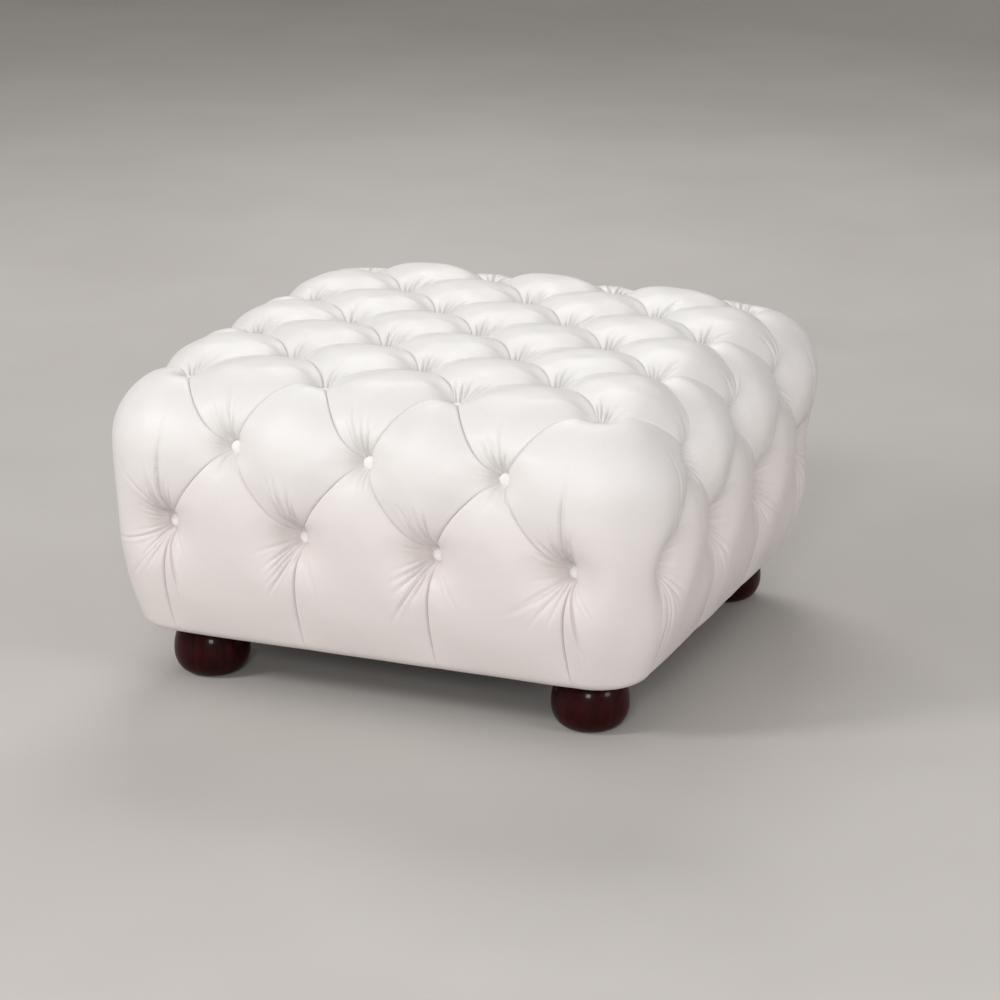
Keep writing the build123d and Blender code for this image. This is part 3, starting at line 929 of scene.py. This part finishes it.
def waxed_twine(name):
    """Twisted flax twine."""
    material, tree, shader = node_material(name)
    twist = noise(tree, object_place(tree), scale=900.0, detail=4.0, roughness=0.7, distortion=1.0)
    tree.links.new(mixed(tree, twist, TWINE_DARK, TWINE_LIGHT), shader.inputs["Base Color"])
    tree.links.new(mapped(tree, twist, (0.3, 0.7), (0.5, 0.75)), shader.inputs["Roughness"])
    tree.links.new(bumped(tree, twist, distance=0.0003, strength=0.7), shader.inputs["Normal"])
    return material


def plated_steel(name):
    """Zinc plated steel with a dull bloom."""
    material, tree, shader = node_material(name)
    bloom = noise(tree, object_place(tree), scale=130.0, detail=5.0, roughness=0.6)
    tree.links.new(mixed(tree, bloom, STEEL_DARK, STEEL_LIGHT), shader.inputs["Base Color"])
    tree.links.new(mapped(tree, bloom, (0.3, 0.7), (0.25, 0.45)), shader.inputs["Roughness"])
    tree.links.new(bumped(tree, bloom, distance=0.0001, strength=0.2), shader.inputs["Normal"])
    shader.inputs["Metallic"].default_value = 1.0
    return material


def matt_floor(name):
    """Plain pale floor with soft clouds of tone."""
    material, tree, shader = node_material(name)
    cloud = noise(tree, object_place(tree), scale=1.3, detail=3.0)
    tone = mixed(tree, mapped(tree, cloud, (0.3, 0.7)), FLOOR_DARK, FLOOR_LIGHT)
    tree.links.new(tone, shader.inputs["Base Color"])
    shader.inputs["Roughness"].default_value = 0.75
    return material


OF_SLOT = {
    "white_leather": leather("white_leather", WHITE_LEATHER, roughness=0.50),
    "button_leather": leather("button_leather", BUTTON_LEATHER, roughness=0.42),
    "dark_mahogany": lacquered_mahogany("dark_mahogany"),
    "black_cloth": spun_cloth("black_cloth"),
    "plywood": bare_wood("plywood", PLYWOOD_LIGHT, PLYWOOD_DARK, stretch=(1.0, 1.0, 12.0)),
    "frame_timber": bare_wood("frame_timber", TIMBER_LIGHT, TIMBER_DARK, stretch=(1.0, 6.0, 6.0)),
    "foam": open_foam("foam"),
    "twine": waxed_twine("twine"),
    "zinc_steel": plated_steel("zinc_steel"),
}
for part in frame["record"]["subparts"]:
    node = frame["nodes"][part["node"]]
    node.data.materials.clear()
    node.data.materials.append(OF_SLOT[part["material_slot"]])


# The cover


def hem_rows(edge_line, normals):
    """Rows of leather that turn under from the lower edge of a panel to the frame's underside."""
    rows = []
    for share in HEM_ROW_SHARES:
        row = edge_line - normals * HEM_WIDTH * share
        row[:, 2] = BASE + HEM_LIFT * (1 + math.sin(share * HEM_ARCH))
        rows.append(row)
    return rows


def dressed_panel(piece, kind, corners, folds):
    """A panel with its hem: its piece, the keys to join it by, its leather, and whether it faces inwards."""
    steps = TOP_STEPS if piece == "cover_top" else SIDE_STEPS
    keys, leather_at, normal = panel_grid(kind, corners, folds, steps)
    if kind in ("skirt", "lower"):
        rows = hem_rows(leather_at[:, 0], normal[:, 0])
        row_keys = [keys[:, 0] + KEY_STEP * (k + 1) for k in range(len(rows))]
        leather_at = np.concatenate([np.stack(rows[::-1], axis=1), leather_at], axis=1)
        keys = np.concatenate([np.stack(row_keys[::-1], axis=1), keys], axis=1)
    across = leather_at[-1, -1] - leather_at[0, -1]
    along = leather_at[0, -1] - leather_at[0, 0]
    middle = normal[normal.shape[0] // 2, normal.shape[1] // 2]
    return piece, keys, leather_at, np.cross(across, along).dot(middle) < 0


def welded(panels):
    """The number of each panel point once points with one key are joined, and the joined places."""
    keys = np.concatenate([panel[1].reshape(-1, 3) for panel in panels])
    spots = np.concatenate([panel[2].reshape(-1, 3) for panel in panels])
    cells = np.floor(keys * WELD_CELLS + WELD_SHIFT).astype(np.int64)
    _, which, count = np.unique(cells, axis=0, return_inverse=True, return_counts=True)
    which = which.reshape(-1)
    joined = np.stack([np.bincount(which, weights=spots[:, k]) for k in range(3)], -1) / count[:, None]
    return which, joined


def build_cover():
    """The leather, in one piece for the top and one for each side."""
    panels = all_panels()
    folds = all_folds(panels)
    dressed = [dressed_panel(piece, kind, corners, folds) for piece, kind, corners in panels]
    which, joined = welded(dressed)
    quads_of, start = {}, 0
    for piece, keys, _, faces_in in dressed:
        rows, columns = keys.shape[:2]
        index = which[start:start + rows * columns].reshape(rows, columns)
        start += rows * columns
        a, b = index[:-1, :-1].ravel(), index[1:, :-1].ravel()
        c, d = index[1:, 1:].ravel(), index[:-1, 1:].ravel()
        quads_of.setdefault(piece, []).append(np.stack([a, d, c, b] if faces_in else [a, b, c, d], -1))
    for piece, quads in quads_of.items():
        used, local = np.unique(np.concatenate(quads), return_inverse=True)
        faces = local.reshape(-1, 4).tolist()
        cover = new_object(piece, joined[used], faces, OF_SLOT["white_leather"])
        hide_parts("tufted_cover")
        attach(cover, "root")


build_cover()


# The buttons


def button_mesh():
    """A covered button that faces up: a low dome whose leather is gathered at the rim."""
    verts, faces = [(0.0, 0.0, BUTTON_HEIGHT)], []
    for reach, rise in BUTTON_DOME_SHARES:
        for k in range(BUTTON_SIDES):
            swing = 2 * math.pi * k / BUTTON_SIDES
            gather = 1 + GATHER_DEPTH * math.sin(swing * GATHERS) * smoothstep(GATHER_FROM, 1.0, reach)
            radius = BUTTON_RADIUS * reach * gather
            height = BUTTON_HEIGHT * rise + BUTTON_LIFT
            verts.append((radius * math.cos(swing), radius * math.sin(swing), height))
    for k in range(BUTTON_SIDES):
        faces.append((0, 1 + k, 1 + (k + 1) % BUTTON_SIDES))
    for ring in range(len(BUTTON_DOME_SHARES) - 1):
        low, high = 1 + ring * BUTTON_SIDES, 1 + (ring + 1) * BUTTON_SIDES
        for k in range(BUTTON_SIDES):
            n = (k + 1) % BUTTON_SIDES
            faces.append((low + k, high + k, high + n, low + n))
    return np.array(verts), faces


def build_buttons(name, spots, node):
    """Covered buttons in their pits, each a little askew, for one node."""
    shape, shape_faces = button_mesh()
    verts, faces = [], []
    for spot in spots:
        centre, out, right, up = button_frame(spot)
        pit = centre - out * button_depth(out)
        tilt = [BUTTON_TILT * (chance(spot, draw) - 0.5) for draw in TILT_DRAWS]
        axis = out + right * tilt[0] + up * tilt[1]
        axis = axis / np.linalg.norm(axis)
        side = right - axis * right.dot(axis)
        side = side / np.linalg.norm(side)
        placed = pit + shape[:, :1] * side + shape[:, 1:2] * np.cross(axis, side) + shape[:, 2:] * axis
        faces += [tuple(len(verts) + i for i in face) for face in shape_faces]
        verts += list(placed)
    covered = new_object(name, verts, faces, OF_SLOT["button_leather"])
    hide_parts(node)
    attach(covered, "root")


build_buttons("covered_buttons_top", TOP_BUTTONS, "top_buttons")
for side, spots in SIDE_BUTTONS.items():
    build_buttons(f"covered_buttons_{side}", spots, f"buttons_{side}")


# The feet


def foot_profile():
    """Reach and height along a bun foot, from the middle of its sole to the middle of its top."""
    profile = [(FOOT_SOLE * share, 0.0) for share in FOOT_SOLE_SHARES]
    swings = [math.pi / 2 * k / FOOT_STEPS for k in range(FOOT_STEPS + 1)]
    profile += [(FOOT_SOLE + (FOOT_BELLY - FOOT_SOLE) * math.sin(swing), FOOT_WIDEST * (1 - math.cos(swing)))
                for swing in swings]
    profile += [(FOOT_NECK + (FOOT_BELLY - FOOT_NECK) * math.cos(swing),
                 FOOT_WIDEST + (FOOT_NECK_BASE - FOOT_WIDEST) * math.sin(swing)) for swing in swings[1:]]
    profile.append((FOOT_NECK, FOOT_NECK_ROW))
    return profile + [(FOOT_NECK * share, FOOT_TOP) for share in FOOT_TOP_SHARES]


def bun_foot(name, node):
    """A turned foot, round the axis of the node that it replaces."""
    low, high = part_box(node)
    centre = (low + high) / 2
    verts, faces, rings = [], [], []
    for reach, rise in foot_profile():
        if reach == 0:
            rings.append([len(verts)] * FOOT_SIDES)
            verts.append((centre.x, centre.y, rise))
            continue
        rings.append(list(range(len(verts), len(verts) + FOOT_SIDES)))
        for k in range(FOOT_SIDES):
            swing = 2 * math.pi * k / FOOT_SIDES
            verts.append((centre.x + reach * math.cos(swing), centre.y + reach * math.sin(swing), rise))
    for lower, upper in zip(rings, rings[1:]):
        for k in range(FOOT_SIDES):
            n = (k + 1) % FOOT_SIDES
            corners = [lower[k], lower[n], upper[n], upper[k]]
            faces.append(tuple(c for i, c in enumerate(corners) if c not in corners[:i]))
    foot = new_object(name, verts, faces, OF_SLOT["dark_mahogany"])
    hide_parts(node)
    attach(foot, "root")


for corner in ("back_right", "back_left", "front_left", "front_right"):
    bun_foot(f"turned_foot_{corner}", f"foot_{corner}")


# The dust cover


def dust_sheet():
    """Thin cloth stapled along its edges, which hangs a little in the middle."""
    line = np.linspace(-DUST_HALF, DUST_HALF, DUST_STEPS + 1)
    across, along = RIPPLE_WAYS
    verts = []
    for y in line:
        for x in line:
            belly = (1 - (x / DUST_HALF) ** 2) * (1 - (y / DUST_HALF) ** 2)
            ripple = math.sin(x * across[0] + y * across[1]) * math.sin(x * along[0] + y * along[1])
            verts.append((x, y, DUST_HEIGHT + (RIPPLE * ripple - DUST_SAG) * belly))
    faces = []
    for j in range(DUST_STEPS):
        for i in range(DUST_STEPS):
            a = j * (DUST_STEPS + 1) + i
            faces.append((a, a + DUST_STEPS + 1, a + DUST_STEPS + 2, a + 1))
    cloth = new_object("dust_cloth", verts, faces, OF_SLOT["black_cloth"])
    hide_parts("dust_cover")
    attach(cloth, "root")


dust_sheet()


# The stage, the light and the camera


def build_floor():
    profile = [(-FLOOR_REACH, 0.0), (FLOOR_BACK - FLOOR_RADIUS, 0.0)]
    for k in range(1, FLOOR_STEPS + 1):
        swing = math.pi / 2 * k / FLOOR_STEPS
        y = FLOOR_BACK - FLOOR_RADIUS * (1 - math.sin(swing))
        profile.append((y, FLOOR_RADIUS * (1 - math.cos(swing))))
    profile.append((FLOOR_BACK, FLOOR_RISE))
    verts = [(x, y, z) for y, z in profile for x in (-FLOOR_REACH, FLOOR_REACH)]
    faces = [(2 * k, 2 * k + 1, 2 * k + 3, 2 * k + 2) for k in range(len(profile) - 1)]
    mesh = bpy.data.meshes.new("floor")
    mesh.from_pydata(verts, [], faces)
    mesh.polygons.foreach_set("use_smooth", [True] * len(mesh.polygons))
    mesh.materials.append(matt_floor("pale_floor"))
    floor = bpy.data.objects.new("floor", mesh)
    bpy.context.scene.collection.objects.link(floor)


def area_light(name, place, target, size, power, colour):
    lamp = bpy.data.lights.new(name, "AREA")
    lamp.shape = "RECTANGLE"
    lamp.size, lamp.size_y = size
    lamp.energy = power
    lamp.color = colour
    made = bpy.data.objects.new(name, lamp)
    made.location = place
    made.rotation_mode = "QUATERNION"
    made.rotation_quaternion = (Vector(target) - Vector(place)).to_track_quat("-Z", "Y")
    bpy.context.scene.collection.objects.link(made)


def build_world():
    world = bpy.data.worlds.new("studio")
    world.use_nodes = True
    background = world.node_tree.nodes["Background"]
    background.inputs["Color"].default_value = WORLD_COLOUR
    background.inputs["Strength"].default_value = WORLD_STRENGTH
    bpy.context.scene.world = world


def build_camera():
    """The camera, placed by its ways to the right, up and back from what it looks at."""
    turn_sine, turn_cosine = math.sin(CAMERA_AZIMUTH), math.cos(CAMERA_AZIMUTH)
    level = math.cos(CAMERA_ELEVATION)
    back = Vector((turn_sine * level, -turn_cosine * level, math.sin(CAMERA_ELEVATION)))
    right = Vector((turn_cosine, turn_sine, 0))
    up = back.cross(right)
    roll_sine, roll_cosine = math.sin(CAMERA_ROLL), math.cos(CAMERA_ROLL)
    right, up = right * roll_cosine + up * roll_sine, up * roll_cosine - right * roll_sine
    data = bpy.data.cameras.new("camera")
    data.sensor_width = CAMERA_SENSOR
    data.lens = CAMERA_SENSOR * CAMERA_FOCAL_SHARE
    data.clip_end = CAMERA_FAR_END
    camera = bpy.data.objects.new("camera", data)
    place = Matrix.Translation(CAMERA_TARGET + back * CAMERA_DISTANCE)
    camera.matrix_world = place @ Matrix((right, up, back)).transposed().to_4x4()
    bpy.context.scene.collection.objects.link(camera)
    bpy.context.scene.camera = camera


build_floor()
for lamp in LAMPS:
    area_light(*lamp)
build_world()
build_camera()
bpy.context.scene.view_settings.view_transform = "Standard"
